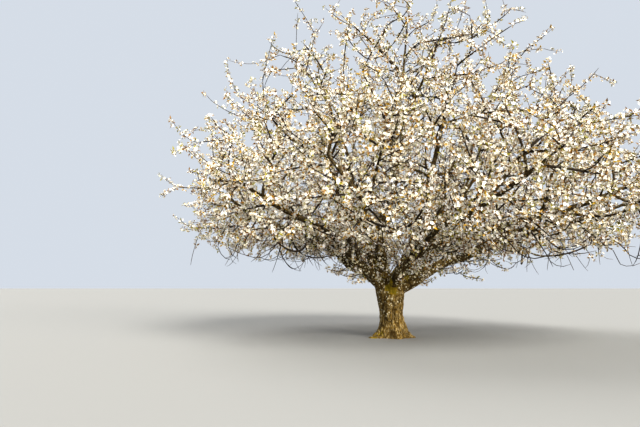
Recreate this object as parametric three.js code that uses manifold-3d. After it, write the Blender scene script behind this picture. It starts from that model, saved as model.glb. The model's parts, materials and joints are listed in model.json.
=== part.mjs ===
// An old orchard cherry in full white blossom, at its real size: a short stout trunk with a flared foot,
// boughs that leave its head all round, and a wide, dome-shaped crown of twigs and blossom.
// Millimetres, +Z up. The origin is the middle of the flat cut under the trunk, at ground level.
// Bearings are in degrees, seen from above, from +X towards +Y. Shares run from 0 at a start to 1 at an end.
import * as THREE from "three";
import { mergeVertices } from "three/addons/utils/BufferGeometryUtils.js";
import Module from "manifold-3d";

const wasm = await Module();
wasm.setup();

// The trunk: its radius at the ground, at its waist and at its head, where the boughs leave.
const TRUNK = {
  height: 1430,
  footRadius: 410,
  waistRadius: 262,
  waistHeight: 520,
  headRadius: 345,
  headHeight: 1120,
  flareHeight: 190,
  lean: -35,
  sides: 20,
  rings: 12,
};

// The two strongest roots: the way each one runs, and how far it widens the foot, as a share of its radius.
const ROOTS = [
  { bearing: 196, swell: 0.34 },
  { bearing: -18, swell: 0.26 },
];

// The crown: a dome with nearly straight flanks above its widest height, rounder towards the left, and a flat
// rounded underside. Long shoots may stand out of it, up to the given reach.
const CROWN = {
  middle: new THREE.Vector3(750, 0, 2850),
  halfWidth: 5450,
  halfDepth: 5000,
  rise: 5850,
  hang: 1200,
  upperPower: 1.16,
  leftPower: 0.6,
  lowerPower: 3,
  reach: 1.15,
};

// The tiers of blossom: how far out, as a share of the crown's half width, and how high each mass is centred.
const TIERS = {
  low: { out: 0.7, height: 2850 },
  middle: { out: 0.45, height: 4400 },
  high: { out: 0.24, height: 6050 },
  top: { out: 0.04, height: 7450 },
};

// The boughs that leave the side of the trunk's head: bearing and rise where they start, and radius there.
const LOW_BOUGHS = [
  { name: "right", bearing: -10, rise: 23, radius: 158 },
  { name: "back_right", bearing: 48, rise: 34, radius: 132 },
  { name: "back", bearing: 106, rise: 36, radius: 126 },
  { name: "back_left", bearing: 158, rise: 33, radius: 124 },
  { name: "left", bearing: 211, rise: 30, radius: 138 },
  { name: "front", bearing: 281, rise: 34, radius: 124 },
];

// The steeper boughs that leave the top of the head, each to a place of its own in the high tier.
const HIGH_BOUGHS = [
  {
    name: "high_right",
    bearing: 14,
    rise: 48,
    radius: 118,
    tier: { out: 0.38, height: 5550 },
  },
  {
    name: "high_left",
    bearing: 166,
    rise: 56,
    radius: 108,
    tier: { out: 0.4, height: 5700 },
  },
];

// The leader goes on upwards from the head, between the boughs.
const LEADER = { name: "leader", bearing: 180, rise: 85, radius: 122 };

// Limbs start inside the trunk or their bough, cover a share of the way to the middle of their blossom,
// and taper from a thicker collar, with a slight wander.
const LIMB = {
  lowStart: { out: 110, height: 1120 },
  highStart: { out: 95, height: 1300 },
  boughShare: 0.68,
  limbShare: 0.56,
  lift: 180,
  tipRadius: 46,
  forkShare: 0.62,
  collarSwell: 0.3,
  collarLength: 300,
  wander: 0.03,
  boughSides: 8,
  limbSides: 6,
  segmentLength: 420,
};

// Each low bough carries a side limb to the mass between it and the next bough, and a riser to the middle
// tier. The leader carries two limbs to the high tier. The forks are shares of the bough's length.
const FORKS = {
  side: 0.5,
  riser: 0.3,
  riserTurn: -10,
  leader: [
    { name: "back", fork: 0.5, bearing: 90 },
    { name: "front", fork: 0.68, bearing: -90 },
  ],
};

// The twigs: how many buds the crown grows towards, and how each new twig picks the place where it starts.
const GROWTH = {
  buds: 184,
  innerShare: 0.25,
  lowShare: 0.7,
  bareRadius: 900,
  bareHeight: 2450,
  shootEvery: 5,
  shootLength: 900,
  stemStep: 480,
  stemReach: 0.9,
  twigStep: 760,
  turnCost: 0.35,
  wayCost: 0.22,
  sag: 0.09,
  sunk: 8,
  tipRadius: 13,
  thickening: 2.4,
  sides: 3,
};

// A spray is the blossom round the end of a twig, as one faceted spindle.
const SPRAY = { length: 900, width: 440, thickness: 300, sunk: 0.3, lift: 25 };

// Solids that touch keep this gap, masses keep the next one from each other, and twigs the last one from
// limbs.
const SEAT = 0.3;
const APART = 6;
const CLEAR = 25;

// Multiples of the inverse powers of this number fill a box evenly: it is the root of x^4 = x + 1.
const SPREAD = 1.2207440846;

const TRUNK_BARK = new THREE.MeshStandardMaterial({
  color: 0x5f4e33,
  roughness: 0.95,
  metalness: 0,
});
const BOUGH_BARK = new THREE.MeshStandardMaterial({
  color: 0x4a3b2a,
  roughness: 0.92,
  metalness: 0,
});
const BLOSSOM = new THREE.MeshStandardMaterial({
  color: 0xf2ebdd,
  roughness: 0.75,
  metalness: 0,
});

const rad = THREE.MathUtils.degToRad;
const smooth = (share) => THREE.MathUtils.smoothstep(share, 0, 1);

// A number from 0 to 1 that looks random but is always the same for the same two keys.
function chance(a, b) {
  const wave = Math.sin(a * 12.9898 + b * 78.233) * 43758.5453;
  return wave - Math.floor(wave);
}

// The unit vector at a bearing and a rise above the horizon.
function heading(bearing, rise = 0) {
  const flat = Math.cos(rad(rise));
  return new THREE.Vector3(
    flat * Math.cos(rad(bearing)),
    flat * Math.sin(rad(bearing)),
    Math.sin(rad(rise)),
  );
}

// A level unit vector square to an axis, or +X if the axis is upright.
function levelAcross(axis) {
  const level = new THREE.Vector3(-axis.y, axis.x, 0);
  return level.length() < 0.1 ? level.set(1, 0, 0) : level.normalize();
}

// The solid of a closed geometry, whose shared vertices are merged first.
function solidOf(geometry) {
  geometry.deleteAttribute("normal");
  geometry.deleteAttribute("uv");
  const welded = mergeVertices(geometry, 1e-3);
  return new wasm.Manifold(
    new wasm.Mesh({
      numProp: 3,
      vertProperties: new Float32Array(welded.attributes.position.array),
      triVerts: new Uint32Array(welded.index.array),
    }),
  );
}

// The largest body of a solid: scraps left by a cut, and hollows sealed by fusing, are dropped.
function largestBody(solid) {
  return solid
    .decompose()
    .reduce((best, body) => (body.volume() > best.volume() ? body : best));
}

// A named mesh of a solid, whose own origin is at the point where the piece starts.
function meshOf(name, solid, start, material) {
  const { vertProperties, triVerts } = solid
    .translate([-start.x, -start.y, -start.z])
    .getMesh();
  const shared = new THREE.BufferGeometry()
    .setAttribute("position", new THREE.BufferAttribute(vertProperties, 3))
    .setIndex(new THREE.BufferAttribute(triVerts, 1));
  const faceted = shared.toNonIndexed();
  faceted.computeVertexNormals();
  const mesh = new THREE.Mesh(faceted, material);
  mesh.name = name;
  mesh.position.copy(start);
  return mesh;
}

// A tapering solid through rings that each have a middle, a heading and a radius:
// a cylinder whose own rings are carried there.
function tube(rings, sides) {
  const segments = rings.length - 1;
  const geometry = new THREE.CylinderGeometry(1, 1, 1, sides, segments);
  const place = geometry.getAttribute("position");
  const level = levelAcross(rings[Math.round(segments / 2)].heading);
  for (let i = 0; i < place.count; i++) {
    const ring = rings[Math.round((place.getY(i) + 0.5) * segments)];
    const across = level.clone().projectOnPlane(ring.heading).normalize();
    const normal = across.clone().cross(ring.heading);
    const point = ring.at
      .clone()
      .addScaledVector(across, place.getX(i) * ring.radius)
      .addScaledVector(normal, place.getZ(i) * ring.radius);
    place.setXYZ(i, point.x, point.y, point.z);
  }
  return solidOf(geometry);
}

// The trunk's middle line leans a little, more with height.
function trunkMiddle(height) {
  const share = height / TRUNK.height;
  return new THREE.Vector3(TRUNK.lean * share * share, 0, height);
}

// The trunk's radius at a height and a turn about its middle line: a foot that flares in lobes
// towards its roots, a waist, and a head that swells and then rounds off.
function trunkRadius(height, turn) {
  const { footRadius, waistRadius, headRadius } = TRUNK;
  const { waistHeight, headHeight } = TRUNK;
  const flare = Math.exp(-height / TRUNK.flareHeight);
  const swell = smooth((height - waistHeight) / (headHeight - waistHeight));
  const past = (height - headHeight) / (TRUNK.height - headHeight);
  const rounding = Math.sqrt(1 - 0.85 * Math.max(0, past) ** 2);
  let lobes = 0.1 * Math.cos(5 * turn + 0.6);
  for (const root of ROOTS)
    lobes += root.swell * Math.max(0, Math.cos(turn - rad(root.bearing))) ** 8;
  const fluting = 1 + lobes * flare + 0.03 * Math.cos(4 * turn + height / 300);
  const plain =
    waistRadius +
    (footRadius - waistRadius) * flare +
    (headRadius - waistRadius) * swell;
  return plain * fluting * rounding;
}

// The trunk's solid, grown outwards and upwards by a gap where it is used to cut the boughs.
function trunkSolid(grow = 0) {
  const { height: top, sides, rings } = TRUNK;
  const geometry = new THREE.CylinderGeometry(1, 1, top, sides, rings);
  geometry.rotateX(Math.PI / 2).translate(0, 0, top / 2);
  const place = geometry.getAttribute("position");
  for (let i = 0; i < place.count; i++) {
    const height = THREE.MathUtils.clamp(place.getZ(i), 0, top);
    const turn = Math.atan2(place.getY(i), place.getX(i));
    const out = Math.hypot(place.getX(i), place.getY(i));
    const radius = out * (trunkRadius(height, turn) + grow);
    const middle = trunkMiddle(height);
    place.setXYZ(
      i,
      middle.x + radius * Math.cos(turn),
      middle.y + radius * Math.sin(turn),
      height > top - 1 ? top + grow : height,
    );
  }
  return solidOf(geometry);
}

// How near a point is to the crown's outline: 0 in its middle and 1 on its surface.
function fullness(point) {
  const from = point.clone().sub(CROWN.middle);
  const above = from.z > 0;
  const left = Math.max(0, -from.x / CROWN.halfWidth);
  const power = above ? CROWN.upperPower + CROWN.leftPower * left : CROWN.lowerPower;
  const out = Math.hypot(from.x / CROWN.halfWidth, from.y / CROWN.halfDepth);
  const up = Math.abs(from.z) / (above ? CROWN.rise : CROWN.hang);
  return (out ** power + up ** power) ** (1 / power);
}

// The middle of a mass of a tier, at a bearing from the crown's own middle.
function tierPoint(tier, bearing) {
  const out = heading(bearing).multiplyScalar(tier.out);
  return new THREE.Vector3(
    CROWN.middle.x + out.x * CROWN.halfWidth,
    CROWN.middle.y + out.y * CROWN.halfDepth,
    tier.height,
  );
}

// A bough or limb: a smooth curve that leaves its start at one heading
// and ends facing the middle of its blossom.
class Limb {
  constructor({ name, parent, key, start, startHeading, target, share, lift, radius }) {
    const tip = start.clone().lerp(target, share);
    tip.z += lift;
    const length = start.distanceTo(tip);
    const tipHeading = target.clone().sub(tip).normalize();
    this.name = name;
    this.parent = parent;
    this.target = target;
    this.length = length;
    this.radius = radius;
    this.phase = 6.28 * chance(key, 1);
    this.curve = new THREE.CubicBezierCurve3(
      start.clone(),
      start.clone().addScaledVector(startHeading, length * 0.4),
      tip.clone().addScaledVector(tipHeading, -length * 0.3),
      tip,
    );
  }

  pointAt(share) {
    const wander = LIMB.wander * this.length * 4 * share * (1 - share);
    const point = this.curve.getPoint(share);
    point.x += wander * Math.sin(9 * share + this.phase);
    point.y += wander * Math.sin(8 * share + 2.1 * this.phase);
    point.z += wander * Math.sin(11 * share + 3.7 * this.phase);
    return point;
  }

  headingAt(share) {
    const before = this.pointAt(Math.max(0, share - 0.01));
    const after = this.pointAt(Math.min(1, share + 0.01));
    return after.sub(before).normalize();
  }

  radiusAt(share) {
    const fromStart = share * this.length;
    const collar = 1 + LIMB.collarSwell * Math.exp(-fromStart / LIMB.collarLength);
    const plain = THREE.MathUtils.lerp(this.radius, LIMB.tipRadius, share ** 0.8);
    return plain * collar;
  }

  // Rings along the limb, about a step apart, grown by a gap where they are used to cut other limbs.
  rings(step, grow = 0) {
    const segments = Math.max(3, Math.round(this.length / step));
    return Array.from({ length: segments + 1 }, (_, i) => ({
      at: this.pointAt(i / segments),
      heading: this.headingAt(i / segments),
      radius: this.radiusAt(i / segments) + grow,
    }));
  }

  solid(grow = 0) {
    const sides = this.parent ? LIMB.limbSides : LIMB.boughSides;
    return tube(this.rings(LIMB.segmentLength, grow), sides);
  }
}

// Every bough and limb, parents before their children. A child starts inside its parent.
function makeLimbs() {
  const limbs = [];
  const add = (facts) => {
    const limb = new Limb({ ...facts, key: limbs.length + 1 });
    limbs.push(limb);
    return limb;
  };
  const fromTrunk = (bough, start, tier) => {
    const out = heading(bough.bearing).multiplyScalar(start.out);
    return add({
      name: `bough_${bough.name}`,
      start: trunkMiddle(start.height).add(out),
      startHeading: heading(bough.bearing, bough.rise),
      target: tierPoint(tier, bough.bearing),
      share: LIMB.boughShare,
      lift: LIMB.lift,
      radius: bough.radius,
    });
  };
  const fromBough = (name, parent, fork, target) => {
    const start = parent.pointAt(fork);
    const towards = target.clone().sub(start).normalize();
    return add({
      name: `limb_${name}`,
      parent,
      start,
      startHeading: parent.headingAt(fork).lerp(towards, 0.6).normalize(),
      target,
      share: LIMB.limbShare,
      lift: 0,
      radius: parent.radiusAt(fork) * LIMB.forkShare,
    });
  };

  const low = LOW_BOUGHS.map((bough) => fromTrunk(bough, LIMB.lowStart, TIERS.low));
  for (const bough of HIGH_BOUGHS) fromTrunk(bough, LIMB.highStart, bough.tier);
  const leader = fromTrunk(LEADER, LIMB.highStart, TIERS.top);
  low.forEach((parent, i) => {
    const { name, bearing } = LOW_BOUGHS[i];
    const next = LOW_BOUGHS[(i + 1) % LOW_BOUGHS.length].bearing;
    const between = bearing + THREE.MathUtils.euclideanModulo(next - bearing, 360) / 2;
    const beside = tierPoint(TIERS.low, between);
    const above = tierPoint(TIERS.middle, bearing + FORKS.riserTurn);
    fromBough(`${name}_side`, parent, FORKS.side, beside);
    fromBough(`${name}_riser`, parent, FORKS.riser, above);
  });
  for (const { name, fork, bearing } of FORKS.leader)
    fromBough(`leader_${name}`, leader, fork, tierPoint(TIERS.high, bearing));
  return limbs;
}

// The solid of a limb, cut clear of what it grows from and of the limbs beside it that were made before it.
function limbSolid(limb, before) {
  let solid = limb.solid();
  if (!limb.parent) solid = solid.subtract(trunkSolid(SEAT));
  for (const other of before) {
    const near = other === limb.parent || other.parent === limb.parent;
    if (near) solid = solid.subtract(other.solid(SEAT));
  }
  return largestBody(solid);
}

// True if a ball at the point is clear of the trunk and of every ring of every limb.
function clearOfWood(point, size, limbRings) {
  const fromAxis = Math.hypot(point.x, point.y) - size;
  const byTrunk = fromAxis < 1.4 * TRUNK.footRadius;
  if (byTrunk && point.z < TRUNK.height + size) return false;
  return limbRings.every(
    ({ at, radius }) => point.distanceTo(at) > radius + size + CLEAR,
  );
}

// True if a ball at the point lies on this mass's side of the planes halfway to every other mass.
function inOwnSpace(point, size, target, targets) {
  const from = point.clone().sub(target);
  return targets.every((other) => {
    if (other === target) return true;
    const away = other.clone().sub(target);
    const gap = away.length();
    return from.dot(away) / gap < gap / 2 - size - APART;
  });
}

// Buds spread evenly through the crown, denser towards its surface and higher up, each given to
// the nearest mass. Every few of those near the surface is the end of a long shoot that stands out of it.
function makeBuds(targets) {
  const buds = [];
  for (let i = 1; buds.length < GROWTH.buds; i++) {
    const [x, y, z] = [1, 2, 3].map((power) => (0.5 + i / SPREAD ** power) % 1);
    const at = new THREE.Vector3(
      CROWN.middle.x + (2 * x - 1) * CROWN.halfWidth,
      CROWN.middle.y + (2 * y - 1) * CROWN.halfDepth,
      CROWN.middle.z - CROWN.hang + z * (CROWN.hang + CROWN.rise),
    );
    const full = fullness(at);
    const up = (at.z - CROWN.middle.z) / CROWN.rise;
    const bare =
      at.z < GROWTH.bareHeight && Math.hypot(at.x, at.y) < GROWTH.bareRadius;
    const share = GROWTH.lowShare + (1 - GROWTH.lowShare) * smooth(2 * up);
    if (full > 1 || bare) continue;
    if (chance(i, 2) > GROWTH.innerShare + full || chance(i, 3) > share) continue;
    if (i % GROWTH.shootEvery === 0 && full > 0.75) {
      const outward = at.clone().sub(CROWN.middle).normalize();
      outward.z = Math.max(outward.z, 0.15);
      at.addScaledVector(outward, GROWTH.shootLength * chance(i, 4));
    }
    if (fullness(at) > CROWN.reach) continue;
    const distances = targets.map((target) => at.distanceTo(target));
    const owner = distances.indexOf(Math.min(...distances));
    buds.push({ at, owner, key: i });
  }
  return buds;
}

// The place on the twigs grown so far that reaches a bud at the least cost:
// by a short way, with little turning back, and not too far along from the limb.
function bestPlace(nodes, bud) {
  let best = null;
  let least = Infinity;
  for (const node of nodes) {
    const to = bud.clone().sub(node.at);
    const far = to.length();
    const turn = 1 - to.dot(node.heading) / far;
    const cost = far * (1 + GROWTH.turnCost * turn) + GROWTH.wayCost * node.way;
    if (cost < least) {
      least = cost;
      best = node;
    }
  }
  return best;
}

// The nodes of a twig from one node to a bud: it leaves on a slant, bows down a little and rises to its end.
function twigNodes(from, bud, step) {
  const to = bud.clone().sub(from.at);
  const far = to.length();
  const leave = to.divideScalar(far).addScaledVector(from.heading, 0.5).normalize();
  const bend = from.at.clone().addScaledVector(leave, 0.45 * far);
  bend.z -= GROWTH.sag * far;
  const curve = new THREE.QuadraticBezierCurve3(from.at, bend, bud);
  const steps = Math.max(1, Math.round(far / step));
  const nodes = [];
  for (let k = 1; k <= steps; k++) {
    const parent = nodes.at(-1) ?? from;
    nodes.push({
      at: curve.getPoint(k / steps),
      heading: curve.getTangent(k / steps).normalize(),
      way: parent.way + far / steps,
      parent,
      carries: 0,
    });
  }
  return nodes;
}

// The stem of a mass goes on from its limb's tip, a seat's gap clear, through the middle of the mass
// and as far as its space or the crown reaches.
function stemNodes(limb, fits) {
  const along = limb.headingAt(1);
  const root = {
    at: limb.pointAt(1).addScaledVector(along, SEAT),
    heading: along,
    way: 0,
    parent: null,
    carries: 0,
  };
  const onward = limb.target.clone().sub(root.at).normalize();
  const end = limb.target.clone();
  while (fullness(end) < GROWTH.stemReach && fits(end, SPRAY.width))
    end.addScaledVector(onward, 60);
  return [root, ...twigNodes(root, end, GROWTH.stemStep)];
}

// The solid of a twig through its nodes, each as thick as the number of buds that it carries asks.
function twigSolid(nodes, rootRadius) {
  const rings = nodes.map(({ at, heading, carries }) => ({
    at,
    heading,
    radius: GROWTH.tipRadius * Math.max(1, carries) ** (1 / GROWTH.thickening),
  }));
  rings[0].radius = rootRadius ?? rings[1].radius;
  return tube(rings, GROWTH.sides);
}

// Where a spray stands: the stretch and turn that carry an octahedron there, with its root sunk in its twig.
function sprayPlace(node, axis, size) {
  const level = levelAcross(axis).negate();
  const upright = level.clone().cross(axis).normalize();
  const middle = node.at
    .clone()
    .addScaledVector(axis, SPRAY.length * (0.5 - SPRAY.sunk) * size);
  return new THREE.Matrix4()
    .makeBasis(
      level.multiplyScalar((SPRAY.width / 2) * size),
      axis.clone().multiplyScalar((SPRAY.length / 2) * size),
      upright.multiplyScalar((SPRAY.thickness / 2) * size),
    )
    .setPosition(middle);
}

// One mass: its stem, the twigs that branch from it to its buds, and a spray at the end and on the side
// of each twig. A twig that would leave the mass's space or touch wood is skipped,
// and a spray that would is made smaller or skipped.
function growMass(limb, buds, targets, limbRings) {
  const fits = (point, size) =>
    inOwnSpace(point, size, limb.target, targets) &&
    clearOfWood(point, size, limbRings);
  const sprayFits = (place, size) =>
    [-1, -0.6, -0.2, 0, 0.2, 0.6, 1].every((share) => {
      const girth = (SPRAY.width / 2) * size * (1 - Math.abs(share));
      const point = new THREE.Vector3(0, share, 0).applyMatrix4(place);
      return fits(point, girth);
    });
  const sprays = [];
  const addSpray = (node, axis, largest) =>
    [1, 0.8, 0.6].some((share) => {
      const place = sprayPlace(node, axis, share * largest);
      const fitting = sprayFits(place, share * largest);
      if (fitting) sprays.push(place);
      return fitting;
    });

  const stem = stemNodes(limb, fits);
  const nodes = stem.slice(1);
  const twigs = [];
  for (const bud of buds) {
    const from = bestPlace(nodes, bud.at);
    const made = twigNodes(from, bud.at, GROWTH.twigStep);
    const fitting = made.every(({ at, parent }) =>
      [0.15, 0.4, 0.7, 1].every((share) =>
        fits(parent.at.clone().lerp(at, share), 2 * GROWTH.tipRadius),
      ),
    );
    if (!fitting) continue;
    nodes.push(...made);
    const leave = made[0].at.clone().sub(from.at).normalize();
    const root = from.at.clone().addScaledVector(leave, -GROWTH.sunk);
    twigs.push([{ at: root, heading: leave, carries: 0 }, ...made]);
    for (let node = made.at(-1); node; node = node.parent) node.carries++;

    addSpray(made.at(-1), made.at(-1).heading, 0.85 + 0.4 * chance(bud.key, 5));
    const beside = made.length > 1 ? made[0] : from;
    const turn = 360 * chance(bud.key, 6);
    [0, 130, 230].some((more) =>
      addSpray(beside, heading(turn + more, SPRAY.lift), 0.75 + 0.3 * chance(bud.key, 7)),
    );
  }
  addSpray(stem.at(-1), stem.at(-1).heading, 1);

  let solid = twigSolid(stem, LIMB.tipRadius);
  for (const twig of twigs) solid = solid.add(twigSolid(twig));
  for (const place of sprays)
    solid = solid.add(solidOf(new THREE.OctahedronGeometry(1).applyMatrix4(place)));
  return { solid: largestBody(solid), start: stem[0].at };
}

function makeTree() {
  const tree = new THREE.Group();
  tree.add(meshOf("trunk", trunkSolid(), new THREE.Vector3(), TRUNK_BARK));

  const limbs = makeLimbs();
  limbs.forEach((limb, i) => {
    const solid = limbSolid(limb, limbs.slice(0, i));
    tree.add(meshOf(limb.name, solid, limb.pointAt(0), BOUGH_BARK));
  });

  const targets = limbs.map((limb) => limb.target);
  const limbRings = limbs.flatMap((limb) => limb.rings(60));
  const buds = makeBuds(targets);
  limbs.forEach((limb, i) => {
    const own = buds.filter((bud) => bud.owner === i);
    const { solid, start } = growMass(limb, own, targets, limbRings);
    const name = limb.name.replace(/^(bough|limb)_/, "blossom_");
    tree.add(meshOf(name, solid, start, BLOSSOM));
  });
  return tree;
}

export default makeTree();
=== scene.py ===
# %% [markdown]
# # A white cherry tree in blossom
#
# The real tree is an old orchard cherry: a short, stout trunk, a head of spreading boughs about 1.4 m up,
# and a wide dome of twigs, white with flowers while the leaves are still small and bronze.
#
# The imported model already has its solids: the trunk, each bough and limb, and one coarse mass of twigs for
# each limb. This lesson grows the same tree again by the same rule, carried on to finer twigs, and hangs
# flowers and young leaves on them. Everything is in metres, in the frame of the solids.

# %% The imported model
import json
import math

import bmesh
import bpy
import numpy as np
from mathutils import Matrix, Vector

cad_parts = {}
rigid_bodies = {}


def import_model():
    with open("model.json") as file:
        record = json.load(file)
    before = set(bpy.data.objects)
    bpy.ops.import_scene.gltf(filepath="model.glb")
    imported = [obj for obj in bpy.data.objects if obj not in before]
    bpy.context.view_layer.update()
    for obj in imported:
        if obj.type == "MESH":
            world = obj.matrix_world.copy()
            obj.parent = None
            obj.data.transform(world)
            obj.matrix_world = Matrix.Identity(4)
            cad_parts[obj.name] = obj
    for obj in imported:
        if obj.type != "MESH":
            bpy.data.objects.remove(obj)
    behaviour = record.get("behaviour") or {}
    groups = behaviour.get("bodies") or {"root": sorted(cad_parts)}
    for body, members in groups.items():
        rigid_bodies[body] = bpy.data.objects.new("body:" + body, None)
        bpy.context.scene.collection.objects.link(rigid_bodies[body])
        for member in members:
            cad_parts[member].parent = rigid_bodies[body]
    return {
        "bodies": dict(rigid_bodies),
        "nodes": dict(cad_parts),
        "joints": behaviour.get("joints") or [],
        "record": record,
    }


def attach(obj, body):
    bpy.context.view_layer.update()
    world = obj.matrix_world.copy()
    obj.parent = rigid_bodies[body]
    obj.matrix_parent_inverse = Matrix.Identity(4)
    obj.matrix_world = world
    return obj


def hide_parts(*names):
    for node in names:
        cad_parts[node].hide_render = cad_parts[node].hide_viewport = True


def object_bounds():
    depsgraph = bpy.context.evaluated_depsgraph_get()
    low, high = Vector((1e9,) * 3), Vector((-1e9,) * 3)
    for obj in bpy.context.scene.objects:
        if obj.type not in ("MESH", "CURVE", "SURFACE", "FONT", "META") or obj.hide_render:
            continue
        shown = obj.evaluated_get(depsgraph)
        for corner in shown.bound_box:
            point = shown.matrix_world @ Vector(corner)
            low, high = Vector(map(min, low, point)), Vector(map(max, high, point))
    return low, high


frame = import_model()
cad_low, cad_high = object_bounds()
print(len(frame["nodes"]), "solids, box from", tuple(cad_low), "to", tuple(cad_high))

# %% [markdown]
# ## Directions, smooth steps and chance
#
# No two twigs are alike, but the script has to make the same tree each time it runs. So chance here is a
# formula and not a die: it takes two numbers and always gives the same share for them.

# %% Helpers for directions and chance
FULL_TURN = 6.28


def unit(vectors):
    """Each vector divided by its own length."""
    vectors = np.asarray(vectors, float)
    return vectors / np.linalg.norm(vectors, axis=-1, keepdims=True)


def smooth(share):
    """3t² - 2t³, where t is the share held between 0 and 1."""
    t = np.clip(share, 0, 1)
    return t * t * (3 - 2 * t)


def chance(a, b):
    """What follows the point in 43758.5453 times the sine of 12.9898 a + 78.233 b."""
    wave = np.sin(np.asarray(a) * 12.9898 + b * 78.233) * 43758.5453
    return wave - np.floor(wave)


def heading(bearing, rise=0.0):
    """The unit vector (cos rise · cos bearing, cos rise · sin bearing, sin rise), from angles in
    degrees."""
    bearing, rise = np.radians(bearing), np.radians(rise)
    flat = np.cos(rise)
    return np.stack([flat * np.cos(bearing), flat * np.sin(bearing), np.sin(rise) + 0 * bearing], axis=-1)


def frames_along(headings, references):
    """Two unit vectors square to each heading: across is the level vector square to the reference, made
    square to the heading, and beside is across × heading."""
    level = np.stack([-references[:, 1], references[:, 0], 0 * references[:, 2]], axis=-1)
    upright = np.linalg.norm(level, axis=1) < 0.1
    level[upright] = (1.0, 0.0, 0.0)
    across = unit(level - headings * np.sum(level * headings, axis=1, keepdims=True))
    return across, np.cross(across, headings)


def square_to(axes, turn):
    """The direction square to each axis at a turn about it: cos turn · across + sin turn · beside."""
    across, beside = frames_along(axes, axes)
    return np.cos(turn)[:, None] * across + np.sin(turn)[:, None] * beside


print("chance of 1 and 2 is always", round(float(chance(1, 2)), 4))

# %% [markdown]
# ## The trunk's shape
#
# The foot flares in lobes towards the roots, the waist is the thinnest place, and the head swells where the
# boughs leave. All of that is one formula, the radius at a height and a turn, so the trunk can be drawn as
# a stack of rings. It is the formula of the solid trunk, so the two agree everywhere.

# %% The trunk's formula
TRUNK_HEIGHT = 1.43
FOOT_RADIUS = 0.41
WAIST_RADIUS = 0.262
WAIST_HEIGHT = 0.52
HEAD_RADIUS = 0.345
HEAD_HEIGHT = 1.12
FLARE_HEIGHT = 0.19
TRUNK_LEAN = -0.035
ROOTS = ((196, 0.34), (-18, 0.26))


def trunk_middle(height):
    """The middle line leans to one side by the lean times the square of the share of the height."""
    height = np.asarray(height, float)
    lean = TRUNK_LEAN * (height / TRUNK_HEIGHT) ** 2
    return np.stack([lean, 0 * height, height], axis=-1)


def trunk_radius(height, turn):
    """Plain radius × fluting × rounding. The plain radius goes from foot to waist as e to the minus height
    over flare height, and on to the head by a smooth step. The fluting is 1 plus waves and root lobes."""
    flare = np.exp(-height / FLARE_HEIGHT)
    swell = smooth((height - WAIST_HEIGHT) / (HEAD_HEIGHT - WAIST_HEIGHT))
    past = np.maximum(0, (height - HEAD_HEIGHT) / (TRUNK_HEIGHT - HEAD_HEIGHT))
    rounding = np.sqrt(1 - 0.85 * np.minimum(past, 1) ** 2)
    lobes = 0.1 * np.cos(5 * turn + 0.6)
    for bearing, size in ROOTS:
        lobes = lobes + size * np.maximum(0, np.cos(turn - math.radians(bearing))) ** 8
    fluting = 1 + lobes * flare + 0.03 * np.cos(4 * turn + height / 0.3)
    plain = WAIST_RADIUS + (FOOT_RADIUS - WAIST_RADIUS) * flare + (HEAD_RADIUS - WAIST_RADIUS) * swell
    return plain * fluting * rounding


print("waist", round(2 * float(trunk_radius(WAIST_HEIGHT, 0.0)), 3), "m thick")

# %% [markdown]
# ## Boughs and limbs
#
# Six low boughs leave the side of the head, two steeper ones and the leader leave its top, and each low
# bough forks twice. A limb could be drawn by hand as a curve. Here all of them follow one rule, from the
# bearing and the middle of the blossom that the limb carries: a cubic curve that leaves its start at one
# heading, arrives facing its blossom, and wanders a little on the way.

# %% The crown and its tiers of blossom
CROWN_MIDDLE = np.array([0.75, 0.0, 2.85])
CROWN_HALF = np.array([5.45, 5.0])
CROWN_RISE = 5.85
CROWN_HANG = 1.2
CROWN_REACH = 1.15
UPPER_POWER = 1.16
LEFT_POWER = 0.6
LOWER_POWER = 3
LOW_TIER = (0.7, 2.85)
MIDDLE_TIER = (0.45, 4.4)
HIGH_TIER = (0.24, 6.05)
TOP_TIER = (0.04, 7.45)


def fullness(points):
    """(outᵖ + upᵖ) to the power 1/p, with out and up as shares of the crown's half width and of its rise or
    hang: 0 in its middle and 1 on its surface. Above the middle p grows towards the left, where the crown
    is rounder."""
    away = points - CROWN_MIDDLE
    above = away[:, 2] > 0
    left = np.maximum(0, -away[:, 0] / CROWN_HALF[0])
    power = np.where(above, UPPER_POWER + LEFT_POWER * left, LOWER_POWER)
    out = np.hypot(away[:, 0] / CROWN_HALF[0], away[:, 1] / CROWN_HALF[1])
    up = np.abs(away[:, 2]) / np.where(above, CROWN_RISE, CROWN_HANG)
    return (out**power + up**power) ** (1 / power)


def tier_point(tier, bearing):
    """Out from the crown's middle by the tier's share of its half width, at the tier's height."""
    out, height = tier
    flat = CROWN_MIDDLE[:2] + out * heading(bearing)[:2] * CROWN_HALF
    return np.array([*flat, height])


# %% The rule for a limb
TIP_RADIUS = 0.046
COLLAR_SWELL = 0.3
COLLAR_LENGTH = 0.3
WANDER = 0.03


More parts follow.
